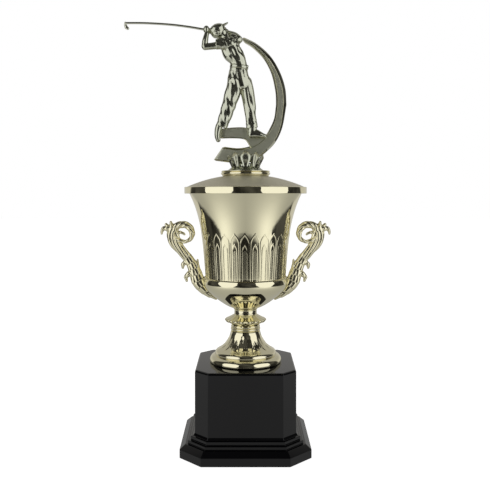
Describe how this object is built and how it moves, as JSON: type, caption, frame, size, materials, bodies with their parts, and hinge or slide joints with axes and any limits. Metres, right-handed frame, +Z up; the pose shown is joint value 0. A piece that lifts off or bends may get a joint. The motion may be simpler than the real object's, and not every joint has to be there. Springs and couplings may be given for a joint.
{
  "type": "cup trophy with golf figure",
  "caption": "Lidded two-handled award cup on a stepped eight-sided gloss black plinth, topped by a golfer on a crescent sweep.",
  "frame": {"origin": "on the cup's axis, at the underside of the felt that the trophy stands on", "axes": "+Z up along the cup's axis; +X towards the right-hand handle as the golfer is seen from the front; -Y towards the front, the side the golfer stands on"},
  "size_m": [0.2168, 0.1362, 0.4492],
  "materials": {
    "pale_gold": "moulded ABS, vacuum metallised in a pale champagne gold, mirror gloss",
    "silver_gold": "moulded ABS, vacuum metallised in a silvery pale gold, polished with stippled matt faces",
    "gloss_black": "moulded polystyrene, gloss black",
    "zinc_steel": "zinc-plated steel",
    "cast_iron": "rough cast iron ballast",
    "dark_board": "pressed dark board",
    "black_felt": "pressed black felt"
  },
  "bodies": {
    "trophy": {"base_shell": "gloss_black", "base_plate": "dark_board", "base_weight": "cast_iron", "felt_pad": "black_felt", "tie_rod": "zinc_steel", "rod_washer_lower": "zinc_steel", "rod_nut_lower": "zinc_steel", "rod_washer_upper": "zinc_steel", "rod_nut_upper": "zinc_steel", "foot": "pale_gold", "stem_ring": "pale_gold", "leaf_knop": "pale_gold", "neck_collar": "pale_gold", "cup": "pale_gold", "handle_left": "pale_gold", "handle_right": "pale_gold", "handle_screw_left_lower": "zinc_steel", "handle_screw_left_upper": "zinc_steel", "handle_screw_right_lower": "zinc_steel", "handle_screw_right_upper": "zinc_steel", "handle_washer_left_lower": "zinc_steel", "handle_washer_left_upper": "zinc_steel", "handle_washer_right_lower": "zinc_steel", "handle_washer_right_upper": "zinc_steel"},
    "lid_and_figure": {"lid": "pale_gold", "lid_collar": "pale_gold", "lid_stud": "zinc_steel", "lid_washer": "zinc_steel", "lid_nut": "zinc_steel", "leaf_crown": "silver_gold", "sweep": "silver_gold", "golfer": "silver_gold", "club_shaft": "silver_gold", "club_head": "silver_gold"}
  },
  "joints": [
    {"name": "lid_lift", "type": "slide", "parent": "trophy", "child": "lid_and_figure", "axis": [0, 0, 1], "range_m": [0, 0.08]}
  ]
}
